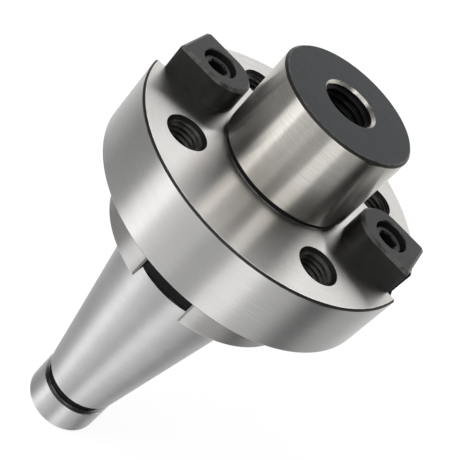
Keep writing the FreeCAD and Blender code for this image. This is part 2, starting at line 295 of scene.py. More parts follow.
# %% [markdown]
# ## Ground and turned steel
#
# A grinding wheel leaves fine lines that run round the part. Each line is a tiny groove, so light
# spreads across the lines and hardly along them: on a round wall the reflections draw out into clean
# bands along the axis, and on a flat turned face they open into fans. The anisotropic setting of the
# shader does this once it knows which way the lines run, and a noise that changes quickly along the
# outline but slowly round it draws the lines themselves. Real grinding lines are a few hundredths of a
# millimetre apart, too fine to see here, so they are drawn about half a millimetre apart.
#
# Every pattern's size is a length in millimetres, and one function turns it into the number of repeats
# in a metre that a noise texture asks for.

# %% Machined lines, and worn places, on steel with a painted edge highlight
LINE_SPACING = 0.55
STREAKS_ROUND = 5.0
CLOUD_SIZE = 26.3
WEAR_PATCH = 3.85
NOISE_LOW, NOISE_HIGH = 0.3, 0.7


def repeats(size):
    """How many times a pattern of this size in millimetres fits into a metre: 1 / size in metres."""
    return 1 / (size * MM)


def machined_lines(tree):
    """A noise that follows the lathe: fine along the outline and slow round the axis.

    It is read at the point (heading * STREAKS_ROUND + radius / LINE_SPACING on Z) and, as the fourth
    coordinate, height / LINE_SPACING. Heading is the unit vector from the axis to the surface."""
    spot = add(tree, "ShaderNodeTexCoord").outputs["Object"]
    split = add(tree, "ShaderNodeSeparateXYZ", {0: spot})
    flat = add(tree, "ShaderNodeCombineXYZ", {0: split.outputs[0], 1: split.outputs[1]})
    radius = add(tree, "ShaderNodeVectorMath", {0: flat.outputs[0]}, operation="LENGTH").outputs["Value"]
    heading = add(tree, "ShaderNodeVectorMath", {0: flat.outputs[0]}, operation="NORMALIZE").outputs[0]
    slow = add(tree, "ShaderNodeVectorMath", {0: heading, "Scale": STREAKS_ROUND}, operation="SCALE")
    across = add(tree, "ShaderNodeMath", {0: radius, 1: repeats(LINE_SPACING)}, operation="MULTIPLY")
    height = split.outputs[2]
    up = add(tree, "ShaderNodeMath", {0: height, 1: repeats(LINE_SPACING)}, operation="MULTIPLY")
    lift = add(tree, "ShaderNodeCombineXYZ", {2: across.outputs[0]})
    place = add(tree, "ShaderNodeVectorMath", {0: slow.outputs[0], 1: lift.outputs[0]}, operation="ADD")
    return add(
        tree, "ShaderNodeTexNoise",
        {"Vector": place.outputs[0], "W": up.outputs[0], "Detail": 3.0, "Scale": 1.0},
        noise_dimensions="4D",
    ).outputs[0]


# On steel this share paints broken edges paler, partly as a painted highlight; on black oxide it is wear
# alone.
def worn_share(tree, most):
    """How much of the finish is rubbed off: the wear attribute times a patchy noise, most at most.

    The noise hardly leaves the range from NOISE_LOW to NOISE_HIGH, so that range is spread over 0 to
    most."""
    spot = add(tree, "ShaderNodeTexCoord").outputs["Object"]
    patchy = add(
        tree, "ShaderNodeTexNoise", {"Vector": spot, "Scale": repeats(WEAR_PATCH), "Detail": 3.0}
    ).outputs[0]
    share = add(
        tree, "ShaderNodeMapRange",
        {"Value": patchy, "From Min": NOISE_LOW, "From Max": NOISE_HIGH, "To Max": most},
    ).outputs[0]
    wear = add(tree, "ShaderNodeAttribute", attribute_name="wear").outputs["Fac"]
    return add(tree, "ShaderNodeMath", {0: share, 1: wear}, operation="MULTIPLY").outputs[0]


# %% Ground steel
# Broken edges of the steels turn paler in patches: partly rubbed steel, partly a painted highlight along
# the edges.
EDGE_WEAR_AND_HIGHLIGHT = "#eceae7"
STEEL_LOW, STEEL_HIGH = 0.1, 0.45
STEEL_WEAR_AND_HIGHLIGHT = 1.0
LINE_DEPTH = 0.02
QUARTER_TURN = 0.25


def steel(name, tone, shade, smooth, rough, stretch, groove):
    """Ground steel: a metal between two tones, with a roughness range, lines and their groove strength.

    The lines times a slow cloud run from shade and rough, where that product is low, to tone and
    smooth, where it is high. Stretch is how far the lines draw a reflection out across themselves."""
    made = bpy.data.materials.new(name)
    tree = empty_tree(made)
    lines = machined_lines(tree)
    spot = add(tree, "ShaderNodeTexCoord").outputs["Object"]
    cloud = add(
        tree, "ShaderNodeTexNoise", {"Vector": spot, "Scale": repeats(CLOUD_SIZE), "Detail": 4.0}
    ).outputs[0]
    blend = add(tree, "ShaderNodeMath", {0: lines, 1: cloud}, operation="MULTIPLY").outputs[0]
    span = {"Value": blend, "From Min": STEEL_LOW, "From Max": STEEL_HIGH}
    tint = add(tree, "ShaderNodeMapRange", span)
    colour = add(
        tree, "ShaderNodeMix", {0: tint.outputs[0], 6: linear(shade), 7: linear(tone)}, data_type="RGBA"
    )
    grain = add(tree, "ShaderNodeMapRange", {**span, "To Min": rough, "To Max": smooth})
    # The paler edge colour is partly rubbing and partly a painted highlight.
    bare = worn_share(tree, STEEL_WEAR_AND_HIGHLIGHT)
    bright = add(
        tree, "ShaderNodeMix", {0: bare, 6: colour.outputs[2], 7: linear(EDGE_WEAR_AND_HIGHLIGHT)}, data_type="RGBA"
    )
    bump = add(tree, "ShaderNodeBump", {"Height": lines, "Strength": groove, "Distance": LINE_DEPTH * MM})
    way = add(tree, "ShaderNodeTangent", direction_type="RADIAL", axis="Z")
    surface = add(
        tree, "ShaderNodeBsdfPrincipled",
        {
            "Base Color": bright.outputs[2], "Metallic": 1.0, "Roughness": grain.outputs[0],
            "Anisotropic": stretch, "Anisotropic Rotation": QUARTER_TURN,
            "Normal": bump.outputs[0], "Tangent": way.outputs[0],
        },
    )
    add(tree, "ShaderNodeOutputMaterial", {"Surface": surface.outputs[0]})
    return made


# %% The five steels
# Cylindrically ground steel, on the flange's rim, the tail's end, the groove's ledge and the drive slots'
# walls: pale and neutral, with clean light and dark bands that run along the axis.
ground = steel("bright_ground_steel", "#dad9d8", "#cfcecd", 0.27, 0.3, 0.97, 0.1)
# Taper and tail ground with a coarser wheel: the same bands, but wide and silky, and none of them sharp.
satin = steel("satin_ground_steel", "#dfdfdf", "#d3d3d3", 0.38, 0.44, 0.85, 0.08)
# Face turned on a lathe, on the flange and the collar: fine rings, in which light opens into fans.
faced = steel("turned_face_steel", "#dddbd9", "#d1cecb", 0.21, 0.26, 1.0, 0.15)
# Pilot and bore rim, ground with a fine wheel, crispest bands; its warm tint is a painted reflection.
polished = steel("fine_ground_steel", "#dad7d2", "#ccc8c0", 0.22, 0.25, 1.0, 0.06)
# Collar under the flange, turned and milled: painted shade, a darker grey than the rim.
milled = steel("collar_steel_painted_shade", "#c6c4c3", "#b7b5b4", 0.26, 0.32, 0.97, 0.1)
print("steels:", *[finish.name for finish in (ground, satin, faced, polished, milled)])

# %% [markdown]
# ## Black oxide
#
# The black is a thin iron oxide grown in a hot salt bath and sealed with oil. It isn't paint: it follows
# every machining mark, looks slate grey where light falls on it flat, and it wears to bare steel on the
# corners first. A dark, half glossy surface with a fine mottle gives that. The real mottle is finer than
# a tenth of a millimetre, too fine to see here, so it is drawn a little over two millimetres across.
#
# The wear could be found from the mesh's curvature, which the Geometry node calls pointiness, but only
# one render engine works that out, and the exported model would lose it. Here the body and the keys
# carry a wear attribute on their points, 1 on a broken edge and 0 elsewhere, and the material turns part
# of that, in patches, into bare metal.

# %% Black oxide
RUBBED = "#8d8b87"
OXIDE_RUBBED = 0.32
MOTTLE_SIZE = 2.38
OXIDE_CLOUD_SIZE = 22.2
OXIDE_LOW, OXIDE_HIGH = 0.12, 0.4
PIT_STRENGTH = 0.3
OXIDE_IOR = 1.5


def oxide(name, tone, shade, smooth, rough, gloss, pits):
    """Black oxide on steel: two dark tones in a fine mottle, rubbed to bare steel where it is worn.

    The mottle times a slow cloud runs from shade to tone, and the machined lines run the roughness from
    smooth to rough. gloss scales the reflection at the surface and pits is the depth of the mottle in
    millimetres."""
    made = bpy.data.materials.new(name)
    tree = empty_tree(made)
    spot = add(tree, "ShaderNodeTexCoord").outputs["Object"]
    lines = machined_lines(tree)
    mottle = add(
        tree, "ShaderNodeTexNoise", {"Vector": spot, "Scale": repeats(MOTTLE_SIZE), "Detail": 5.0}
    ).outputs[0]
    cloud = add(
        tree, "ShaderNodeTexNoise", {"Vector": spot, "Scale": repeats(OXIDE_CLOUD_SIZE), "Detail": 3.0}
    ).outputs[0]
    both = add(tree, "ShaderNodeMath", {0: mottle, 1: cloud}, operation="MULTIPLY").outputs[0]
    tint = add(
        tree, "ShaderNodeMapRange", {"Value": both, "From Min": OXIDE_LOW, "From Max": OXIDE_HIGH}
    )
    colour = add(
        tree, "ShaderNodeMix", {0: tint.outputs[0], 6: linear(shade), 7: linear(tone)}, data_type="RGBA"
    )
    bare = worn_share(tree, OXIDE_RUBBED)
    mixed = add(
        tree, "ShaderNodeMix", {0: bare, 6: colour.outputs[2], 7: linear(RUBBED)}, data_type="RGBA"
    )
    grain = add(
        tree, "ShaderNodeMapRange",
        {"Value": lines, "From Min": NOISE_LOW, "From Max": NOISE_HIGH, "To Min": smooth, "To Max": rough},
    )
    bump = add(tree, "ShaderNodeBump", {"Height": mottle, "Strength": PIT_STRENGTH, "Distance": pits * MM})
    surface = add(
        tree, "ShaderNodeBsdfPrincipled",
        {
            "Base Color": mixed.outputs[2], "Metallic": bare, "Roughness": grain.outputs[0],
            "IOR": OXIDE_IOR, "Specular IOR Level": gloss, "Normal": bump.outputs[0],
        },
    )
    add(tree, "ShaderNodeOutputMaterial", {"Surface": surface.outputs[0]})
    return made


# %% The five oxides
# Black oxide on the milled keys and the broken rims: near black, half glossy, grey where it is rubbed.
black = oxide("black_oxide", "#1e1e1d", "#141413", 0.34, 0.48, 0.36, 0.03)
# Black oxide on the pilot's flat end: a duller, bluer slate, because the turned face scatters light.
slate = oxide("black_oxide_end_face", "#1e2123", "#181b1d", 0.47, 0.54, 0.3, 0.02)
# Black oxide in grooves, slots and bores: painted shade, a darker black than the keys', and almost no
# shine.
dark = oxide("black_oxide_painted_shade", "#101010", "#080808", 0.4, 0.55, 0.15, 0.03)
# Tapped thread with oil left in it: glossier, so that each crest catches a thin line of light.
thread = oxide("oiled_thread", "#34332f", "#12110f", 0.25, 0.5, 0.5, 0.1)
# Bought socket head screw: a smoother, slightly bluer black than the keys round it.
screw_black = oxide("black_oxide_screw", "#141516", "#0c0d0e", 0.3, 0.42, 0.4, 0.03)
FINISHES = [ground, satin, faced, polished, milled, black, slate, dark, thread]
GROUND, SATIN, FACED, POLISHED, COLLAR_PAINTED_SHADE, BLACK, SLATE, PAINTED_SHADE_BLACK, THREAD = range(len(FINISHES))
print("oxides:", *[finish.name for finish in (black, slate, dark, thread, screw_black)])

# %% [markdown]
# ## The arbor's body
#
# The body is one turned outline, from the drawbar end at the bottom to the pilot's end at the top. Each
# corner of the outline is a radius, a height and the finish of the run that starts there: bright steel
# where it fits something, a darker grey on the collar as painted shade under the flange, black on the
# flange's and pilot's broken rims and on the pilot's end, and a darker black, painted shade, in the
# groove, on the neck and in the relief under the pilot. The outline starts and stops 2 mm from the axis,
# and the bores at both ends cut away the small flat discs that are left there.
#
# A 7/24 taper is measured on the diameter, so the radius grows half as fast: 7 in 48.

# %% The body's sizes
TAIL_END, TAIL_TOP, TAPER_END, TAPER_TOP = -126.8, -108.8, -101.8, 0.5
COLLAR_BACK, FLANGE_BACK, FLANGE_FACE, PILOT_END = 7.0, 34.25, 66.0, 106.7
TAIL_RADIUS, GROOVE_RADIUS, NECK_RADIUS = 19.8, 17.5, 34.3
COLLAR_RADIUS, FLANGE_RADIUS, PILOT_RADIUS = 50.8, 69.85, 31.75
TAPER_SLOPE = 7 / 48
GAUGE_RADIUS = 34.925
TAIL_CHAMFER, COLLAR_CHAMFER, FLANGE_CHAMFER, PILOT_CHAMFER = 1.6, 0.8, 0.9, 1.1
RELIEF_LENGTH, RELIEF_DEPTH = 2.4, 0.7
CENTRE = 2.0
BODY_AROUND = 288
print("body:", TAIL_END, "to", PILOT_END, "mm along the axis")

# %% The outline's corners
body_runs = [
    (CENTRE, TAIL_END, GROUND),
    (TAIL_RADIUS - TAIL_CHAMFER, TAIL_END, GROUND),
    (TAIL_RADIUS, TAIL_END + TAIL_CHAMFER, SATIN),
    (TAIL_RADIUS, TAIL_TOP, GROUND),
    (GROOVE_RADIUS, TAIL_TOP, PAINTED_SHADE_BLACK),
    (GROOVE_RADIUS, TAPER_END, PAINTED_SHADE_BLACK),
    (GAUGE_RADIUS + TAPER_SLOPE * TAPER_END, TAPER_END, SATIN),
    (GAUGE_RADIUS + TAPER_SLOPE * TAPER_TOP, TAPER_TOP, PAINTED_SHADE_BLACK),
    (NECK_RADIUS, TAPER_TOP, PAINTED_SHADE_BLACK),
    (NECK_RADIUS, COLLAR_BACK, FACED),
    (COLLAR_RADIUS - COLLAR_CHAMFER, COLLAR_BACK, COLLAR_PAINTED_SHADE),
    (COLLAR_RADIUS, COLLAR_BACK + COLLAR_CHAMFER, COLLAR_PAINTED_SHADE),
    (COLLAR_RADIUS, FLANGE_BACK, FACED),
    (FLANGE_RADIUS - FLANGE_CHAMFER, FLANGE_BACK, BLACK),
    (FLANGE_RADIUS, FLANGE_BACK + FLANGE_CHAMFER, GROUND),
    (FLANGE_RADIUS, FLANGE_FACE - FLANGE_CHAMFER, BLACK),
    (FLANGE_RADIUS - FLANGE_CHAMFER, FLANGE_FACE, FACED),
    (PILOT_RADIUS - RELIEF_DEPTH, FLANGE_FACE, PAINTED_SHADE_BLACK),
    (PILOT_RADIUS - RELIEF_DEPTH, FLANGE_FACE + RELIEF_LENGTH, PAINTED_SHADE_BLACK),
    (PILOT_RADIUS, FLANGE_FACE + RELIEF_LENGTH, POLISHED),
    (PILOT_RADIUS, PILOT_END - PILOT_CHAMFER, BLACK),
    (PILOT_RADIUS - PILOT_CHAMFER, PILOT_END, SLATE),
    (CENTRE, PILOT_END, SLATE),
]
print("outline:", len(body_runs), "corners")

# %% Turn the blank
body_corners = np.array([(radius, height) for radius, height, _ in body_runs])
outline, run_numbers = break_edges(body_corners)
run_finish = np.array([finish for _, _, finish in body_runs])
blank_rings = turned(outline[:, :1], outline[:, 1:], BODY_AROUND)
arbor = make_piece("arbor", [skin(blank_rings, run_finish[run_numbers][:, None])], FINISHES)
print("turned blank:", len(outline), "points in the outline")
measure(arbor)

# %% [markdown]
# ## Taps, and everything else that cuts
#
# A tapped hole is what is left after a tap has been in it, so the tap is what gets modelled. Its radius
# is a function of two parameters, the angle round the hole and the depth: the core, plus a saw-tooth
# that climbs one pitch in each turn, or the countersink's cone where that is wider, and the drill's
# point at the bottom. A Boolean modifier then takes the cutters out of the blank. It is slower than
# building each hole's wall by hand, but it leaves one closed body with true edges where they meet.

# %% The shape of a tap
POLE = 0.05
TAP_LEAD = 0.6
DRILL_POINT = 118
ROWS_PER_TURN = 8
FLANK_SLOPE, ROOT_FLAT = 1.25, 0.125


def tap(mouth, core, depth, pitch, tooth, around):
    """Rings of a tap that goes down from z = 0, the face that it enters.

    radius(angle, depth) is the larger of the cone, mouth - depth, and the thread, which is core + tooth
    * clip(FLANK_SLOPE |2 phase - 1| - ROOT_FLAT) with phase = height / pitch - angle / turn, fading out
    near the bottom. Under the full depth it closes to the drill's point."""
    down = np.arange(0, depth, pitch / ROWS_PER_TURN)
    down = np.concatenate([[-TAP_LEAD], down, [depth]])[:, None]
    phase = (-down / pitch - angles(around) / (2 * np.pi)) % 1
    wave = np.clip(FLANK_SLOPE * np.abs(2 * phase - 1) - ROOT_FLAT, 0, 1)
    full = np.clip((depth - down) / pitch - 1, 0, 1)
    radius = np.maximum(core + tooth * wave * full, mouth - down)
    tip_depth = depth + core / math.tan(math.radians(DRILL_POINT / 2))
    radius = np.concatenate([radius, np.full((1, around), POLE)])
    height = -np.concatenate([down, [[tip_depth]]])
    return turned(radius, height, around)[::-1]


def turned_about(rings, degrees):
    """The same rings turned about the Z axis: x cos a - y sin a, x sin a + y cos a, and z as it was."""
    angle = math.radians(degrees)
    cosine, sine = math.cos(angle), math.sin(angle)
    return rings @ np.array([[cosine, sine, 0], [-sine, cosine, 0], [0, 0, 1]])


# %% Four taps for the cutter's bolts
BOLT_CIRCLE_RADIUS = 50.8
BOLT_TURNS = (45, 135, 225, 315)
BOLT = {"mouth": 9.3, "core": 6.75, "depth": 24.0, "pitch": 2.31, "tooth": 1.15, "around": 64}


def depths(rings):
    """How far down each gap between two rings of a tap lies: minus the mean of their heights."""
    return -(rings[1:, :1, 2] + rings[:-1, :1, 2]) / 2


bolt_tap = tap(**BOLT)
bolt_cone = BOLT["mouth"] - BOLT["core"] - BOLT["tooth"]
# The countersink takes the darker black, painted shade; the thread below it takes the oiled black.
bolt_finish = np.where(depths(bolt_tap) < bolt_cone, PAINTED_SHADE_BLACK, THREAD)
bolt_place = np.array([BOLT_CIRCLE_RADIUS, 0, FLANGE_FACE])
cutters = [skin(turned_about(bolt_tap + bolt_place, turn), bolt_finish) for turn in BOLT_TURNS]
print("bolt taps:", len(cutters), "of", bolt_tap.shape[0], "rings, core", BOLT["core"], "mm")

# %% The taps at both ends
CENTRE_TAP = {"mouth": 12.6, "core": 10.5, "depth": 32.0, "pitch": 3.0, "tooth": 1.5, "around": 96}
CENTRE_RIM = 1.1
DRAWBAR = {"mouth": 13.0, "core": 11.1, "depth": 57.0, "pitch": 3.175, "tooth": 1.6, "around": 64}
UPSIDE_DOWN = np.array([1, -1, -1])

centre_tap = tap(**CENTRE_TAP)
# Below its bright rim the centre bore takes the darker black, painted shade.
centre_finish = np.where(depths(centre_tap) < CENTRE_RIM, POLISHED, PAINTED_SHADE_BLACK)
cutters.append(skin(centre_tap + np.array([0, 0, PILOT_END]), centre_finish))

# The drawbar's tap goes in from below, so it gets half a turn about X.
drawbar_tap = tap(**DRAWBAR) * UPSIDE_DOWN
# Its bore takes the darker black, painted shade.
cutters.append(skin(drawbar_tap + np.array([0, 0, TAIL_END]), PAINTED_SHADE_BLACK))
print("centre tap and drawbar tap:", centre_tap.shape[0], "and", drawbar_tap.shape[0], "rings")

# %% [markdown]
# ## The slots for the spindle's keys
#
# Two slots are milled across the collar, and the machine's own keys drive the arbor through them. Each
# slot is open outwards and backwards, with a flat floor and bevelled mouths. The outline seen along the
# axis is six points, from one end of the floor, and a straight block of it is one more cutter.

# %% A straight block
def prism(outline_points, low, high):
    """Rings of a straight block: an outline of (x, y) points at two heights."""
    outline_points = np.asarray(outline_points, float)
    low_ring = np.column_stack([outline_points, np.full(len(outline_points), low)])
    high_ring = np.column_stack([outline_points, np.full(len(outline_points), high)])
    return np.stack([low_ring, high_ring])


# %% Two slots across the collar
SLOT_HALF = 12.85
SLOT_FLOOR = 35.3
SLOT_LENGTH = 22.0
SLOT_BEVEL = 1.2
BACK_OFF = 1.0
BOTH_SIDES = (0, 180)

slot_edge = math.sqrt(COLLAR_RADIUS**2 - SLOT_HALF**2) - SLOT_BEVEL
slot_flare = COLLAR_RADIUS - slot_edge + SLOT_BEVEL
slot_outline = [
    (-SLOT_HALF, SLOT_FLOOR), (SLOT_HALF, SLOT_FLOOR), (SLOT_HALF, slot_edge),
    (SLOT_HALF + slot_flare, slot_edge + slot_flare), (-SLOT_HALF - slot_flare, slot_edge + slot_flare),
    (-SLOT_HALF, slot_edge),
]
# The slot's floor takes the darker black, painted shade; its walls and bevels take bright steel.
slot_finish = [PAINTED_SHADE_BLACK] + 5 * [GROUND]
slot_cutter = prism(slot_outline, COLLAR_BACK - BACK_OFF, COLLAR_BACK + SLOT_LENGTH)
cutters += [skin(turned_about(slot_cutter, turn), slot_finish) for turn in BOTH_SIDES]
print("slots:", 2 * SLOT_HALF, "mm wide,", SLOT_LENGTH, "mm long")

# %% [markdown]
# ## Drive keys and their slots
#
# Each key is a square bar with a full round inner end, sunk to half its height in a slot and held by one
# screw. The slot was milled in from the rim, which is why its inner end is round and its outer end is
# open. The outline is one closed run of points: round the inner end, along a side, across the outer end
# and back. The slot is cut with the same outline, a few hundredths larger and carried out past the rim.

# %% The key's outline
KEY_HALF = 12.7
KEY_TIP, KEY_REACH = 33.85, 64.2
KEY_SEAT, KEY_TOP = 53.3, 78.7
KEY_BEVEL, KEY_CORNER = 1.3, 0.9
SCREW_REACH = 49.5
COUNTERBORE, COUNTERBORE_FLOOR, KEY_BORE = 7.95, 66.8, 5.0
ROUND_POINTS, SIDE_POINTS, CORNER_POINTS, END_POINTS = 41, 16, 5, 14


def key_outline(grow=0.0, reach=KEY_REACH):
    """The key's outline from above, grown by a distance: anticlockwise from the inner end.

    The inner end is a half circle as wide as the key. The two outer corners are quarter circles."""
    half, tip, end, corner = KEY_HALF + grow, KEY_TIP - grow, reach + grow, KEY_CORNER
    half_turn = np.radians(np.linspace(90, 270, ROUND_POINTS))
    inner = np.column_stack([tip + half + half * np.cos(half_turn), half * np.sin(half_turn)])
    along = np.linspace(tip + half, end - corner, SIDE_POINTS)[1:-1]
    low_side = np.column_stack([along, np.full(len(along), -half)])
    quarter = np.radians(np.linspace(-90, 0, CORNER_POINTS))
    low_corner = np.column_stack([
        end - corner + corner * np.cos(quarter), -half + corner + corner * np.sin(quarter)
    ])
    across = np.linspace(-half + corner, half - corner, END_POINTS)[1:-1]
    end_wall = np.column_stack([np.full(len(across), end), across])
    back_corner, back_side = (low_corner * [1, -1])[::-1], (low_side * [1, -1])[::-1]
    return np.concatenate([inner, low_side, low_corner, end_wall, back_corner, back_side])


def key_level(height, grow=0.0, reach=KEY_REACH):
    """One ring of the key's outline at a height."""
    ring = key_outline(grow, reach)
    return np.column_stack([ring, np.full(len(ring), height)])


def bore_level(height, radius):
    """One ring round the screw's axis, with each point in line with the outline's own point.

    Each point is the axis plus the radius times the unit vector from the axis to the outline's point."""
    ways = key_outline() - [SCREW_REACH, 0]
    ways = ways / np.linalg.norm(ways, axis=1, keepdims=True)
    return np.column_stack([ways * radius + [SCREW_REACH, 0], np.full(len(ways), height)])


# %% Two slots for the keys
KEY_SLOT_GAP = 0.04
PAST_RIM = 5.65
KEY_SLOT_END = FLANGE_RADIUS + PAST_RIM
SHANK_BORE, SHANK_DEPTH, SHANK_TIP = 4.8, 39.4, 36.5

key_slot = np.stack([
    bore_level(SHANK_TIP, POLE), bore_level(SHANK_DEPTH, SHANK_BORE), bore_level(KEY_SEAT, SHANK_BORE),
    key_level(KEY_SEAT, KEY_SLOT_GAP, KEY_SLOT_END),
    key_level(FLANGE_FACE + BACK_OFF, KEY_SLOT_GAP, KEY_SLOT_END),
])
cutters += [skin(turned_about(key_slot, turn), PAINTED_SHADE_BLACK) for turn in BOTH_SIDES]
tools = make_piece("cutters", cutters, FINISHES)
print(len(cutters), "cutting tools in one mesh")
measure(tools)

# %% [markdown]
# ## Cutting
#
# The Boolean takes all the tools out of the blank at once. Where a tool cut, the body gets the tool's
# own finish, so a slot's floor is black and its walls are bright with no face picked out afterwards; the
# floor's darker black, like the bores', is painted shade. The modifier's result becomes the body's own
# mesh, so that nothing is left live on it.
#
# The wear is written after the cut, because the Boolean doesn't carry it to the right points. A point
# is worn if, seen in the plane of radius and height, it lies on one of the outline's broken corners.

# %% Take the tools out of the body
def cut(piece, tool):
    """Take the tool out of the piece with an exact Boolean and keep the result as the piece's mesh."""
    modifier = piece.modifiers.new("cut", "BOOLEAN")
    modifier.operation = "DIFFERENCE"
    modifier.solver = "EXACT"
    modifier.object = tool
    graph = bpy.context.evaluated_depsgraph_get()
    result = bpy.data.meshes.new_from_object(piece.evaluated_get(graph))
    piece.modifiers.clear()
    piece.data = result
    smooth_off(result)
    bpy.data.objects.remove(tool)


cut(arbor, tools)
measure(arbor)

# %% Rub the broken edges
WEAR_REACH = 0.25


def rub(piece, amounts):
    """Write how worn each point is, from 0 to 1, as the attribute that the materials read."""
    worn = piece.data.attributes.new("wear", "FLOAT", "POINT")
    worn.data.foreach_set("value", np.asarray(amounts, np.float32).ravel())


def near_corners(mesh, corners):
    """1 for each point within WEAR_REACH of a corner, and 0 elsewhere.

    The distance is measured from (square root of x^2 + y^2, z) to the corner's (radius, height)."""
    spots = np.zeros(3 * len(mesh.vertices), np.float32)
    mesh.vertices.foreach_get("co", spots)
    spots = spots.reshape(-1, 3) / MM
    flat = np.column_stack([np.hypot(spots[:, 0], spots[:, 1]), spots[:, 2]])
    nearest = np.linalg.norm(flat[:, None] - corners[None], axis=-1).min(1)
    return (nearest < WEAR_REACH).astype(float)


# On the steels this wear paints the broken edges paler, partly a painted highlight; on black oxide it is
# wear.
arbor_wear = near_corners(arbor.data, body_corners)
rub(arbor, arbor_wear)
print("worn points:", int(arbor_wear.sum()), "of", len(arbor_wear))

# %% [markdown]
# ## The keys themselves
#
# One closed loop of rings makes a whole key: up the outer wall, over the bevel, in across the top, down
# the counterbore, across the screw's seat, down the bore and back out along the bottom. Each ring comes
# with its wear: the bevel and the counterbore's rim are rubbed, the rest isn't.

# %% The key's levels
SOFT = 0.15
RIM, RIM_SUPPORT = 0.45, 0.25
BEVEL_FOOT = KEY_TOP - KEY_BEVEL

key_levels = [
    (key_level(KEY_SEAT, -SOFT), 0),
    (key_level(KEY_SEAT + SOFT), 0),
    (key_level(BEVEL_FOOT - SOFT), 0),
    (key_level(BEVEL_FOOT), 1),
    (key_level(BEVEL_FOOT + SOFT, -SOFT), 1),
    (key_level(KEY_TOP - SOFT, SOFT - KEY_BEVEL), 1),
    (key_level(KEY_TOP, -KEY_BEVEL), 1),
    (key_level(KEY_TOP, -KEY_BEVEL - SOFT), 0),
    (bore_level(KEY_TOP, COUNTERBORE + RIM + SOFT), 0),
    (bore_level(KEY_TOP, COUNTERBORE + RIM), 1),
    (bore_level(KEY_TOP - RIM, COUNTERBORE), 1),
    (bore_level(KEY_TOP - RIM - RIM_SUPPORT, COUNTERBORE), 0),
    (bore_level(COUNTERBORE_FLOOR, COUNTERBORE), 0),
    (bore_level(COUNTERBORE_FLOOR, KEY_BORE), 0),
    (bore_level(KEY_SEAT, KEY_BORE), 0),
]
print("key:", len(key_levels), "levels")

# %% Two keys
key_rings = np.stack([level for level, _ in key_levels])
key_wear = np.repeat([wear for _, wear in key_levels], key_rings.shape[1])
for side, turn in zip(("right", "left"), BOTH_SIDES):
    key = make_piece(
        f"key_{side}", [skin(turned_about(key_rings, turn), BLACK, closed=True)], FINISHES
    )
    rub(key, key_wear)
    measure(key)
    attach(key, BODY)
    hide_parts(f"drive_key_{side}")

# %% [markdown]
# ## Key screws
#
# Socket head cap screws: a knurled round head, a bevelled rim and a hexagon socket. The hexagon comes
# from the same angles as the circle: across flats / 2 divided by the cosine of the angle to the nearest
# flat's middle. The knurl is a ripple on the head's wall: the radius less KNURL_DEPTH times the size of
# the sine of half the angle times the number of teeth.

# %% The rings of a screw
SCREW_AROUND = 192
HEAD_RADIUS, HEAD_HEIGHT, HEAD_BEVEL, HEAD_FOOT = 7.15, 9.5, 0.7, 0.3
SHANK_RADIUS, SHANK_LENGTH, SHANK_CHAMFER = 4.75, 25.4, 0.9
SOCKET_HALF, SOCKET_DEPTH, SOCKET_POINT = 3.97, 5.0, 1.6
SOCKET_RIM, SOCKET_LIP, LIP_DROP, SOCKET_CHAMFER = 0.35, 0.2, 0.05, 0.75
DRILLED_SHARE = 0.9
KNURL_TEETH, KNURL_DEPTH = 48, 0.16


def screw_rings():
    """Rings of one screw, drawn with the underside of its head at z = 0."""
    angle = angles(SCREW_AROUND)
    circle = np.ones(SCREW_AROUND)
    ripple = circle - KNURL_DEPTH / HEAD_RADIUS * np.abs(np.sin(angle * KNURL_TEETH / 2))
    from_flat = (angle + np.pi / 6) % (np.pi / 3) - np.pi / 6
    hexagon = SOCKET_HALF / np.cos(from_flat)
    corner = SOCKET_HALF / math.cos(math.pi / 6)
    top, bottom = HEAD_HEIGHT, HEAD_HEIGHT - SOCKET_DEPTH
    levels = [
        (POLE * circle, -SHANK_LENGTH),
        ((SHANK_RADIUS - SHANK_CHAMFER) * circle, -SHANK_LENGTH),
        (SHANK_RADIUS * circle, -SHANK_LENGTH + SHANK_CHAMFER),
        (SHANK_RADIUS * circle, 0.0),
        ((HEAD_RADIUS - HEAD_FOOT) * circle, 0.0),
        (HEAD_RADIUS * ripple, HEAD_FOOT),
        (HEAD_RADIUS * ripple, top - HEAD_BEVEL - HEAD_FOOT),
        (HEAD_RADIUS * circle, top - HEAD_BEVEL),
        ((HEAD_RADIUS - HEAD_BEVEL) * circle, top),
        ((HEAD_RADIUS - HEAD_BEVEL - SOFT) * circle, top),
        ((corner + SOCKET_RIM) * circle, top),
        ((corner + SOCKET_LIP) * circle, top - LIP_DROP),
        (hexagon, top - SOCKET_CHAMFER),
        (hexagon, bottom),
        (SOCKET_HALF * DRILLED_SHARE * circle, bottom),
        (POLE * circle, bottom - SOCKET_POINT),
    ]
    radius = np.stack([level for level, _ in levels])
    height = np.array([height for _, height in levels])[:, None]
    return turned(radius, height, SCREW_AROUND)


# %% Two screws in one piece
seat = np.array([SCREW_REACH, 0, COUNTERBORE_FLOOR])
screws = make_piece(
    "key_screw_pair",
    [skin(turned_about(screw_rings() + seat, turn)) for turn in BOTH_SIDES],
    [screw_black],
)
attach(screws, BODY)
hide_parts("key_screws")
measure(screws)

# %% [markdown]
# ## The body takes its place
#
# The body rides on the frame and stands for the CAD body, as the keys and screws do for theirs. The
# arbor is one rigid thing, so there is one frame body to ride on.

# %% Ride on the frame
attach(arbor, BODY)
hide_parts("arbor_body")
print("arbor rides on", BODY)

# %% [markdown]
# ## The tent
#
# Bright metal has hardly any colour of its own: what is seen in it is the room. Catalogue photographs of
# tools are taken in a white tent with a few long lamps and grey cards, and those make the bright and
# dark bands. Area lamps and planes round the part would do it too, but each would have to be kept out of
# the picture. Here the world is the tent, and it costs nothing to render.
#
# Each lamp or card is one soft patch of the world: a name, the azimuth and elevation of its middle, how
# far to each side it is full and where it has faded out, the same upwards, and how much brighter or
# darker than the tent it is. Azimuth 0 is straight in front, where the camera stands, and grows to the
# right. The two long lamps draw the bright bands on every round wall, the tent behind and overhead lights
# the flange's face and the far edges, and the cards put the dark bands beside the lamps. Two white
# sheets, low on either side, keep the taper's flanks from going dark.
#
# Only reflections see the patches. The camera sees plain white, and matt surfaces get plain even light.

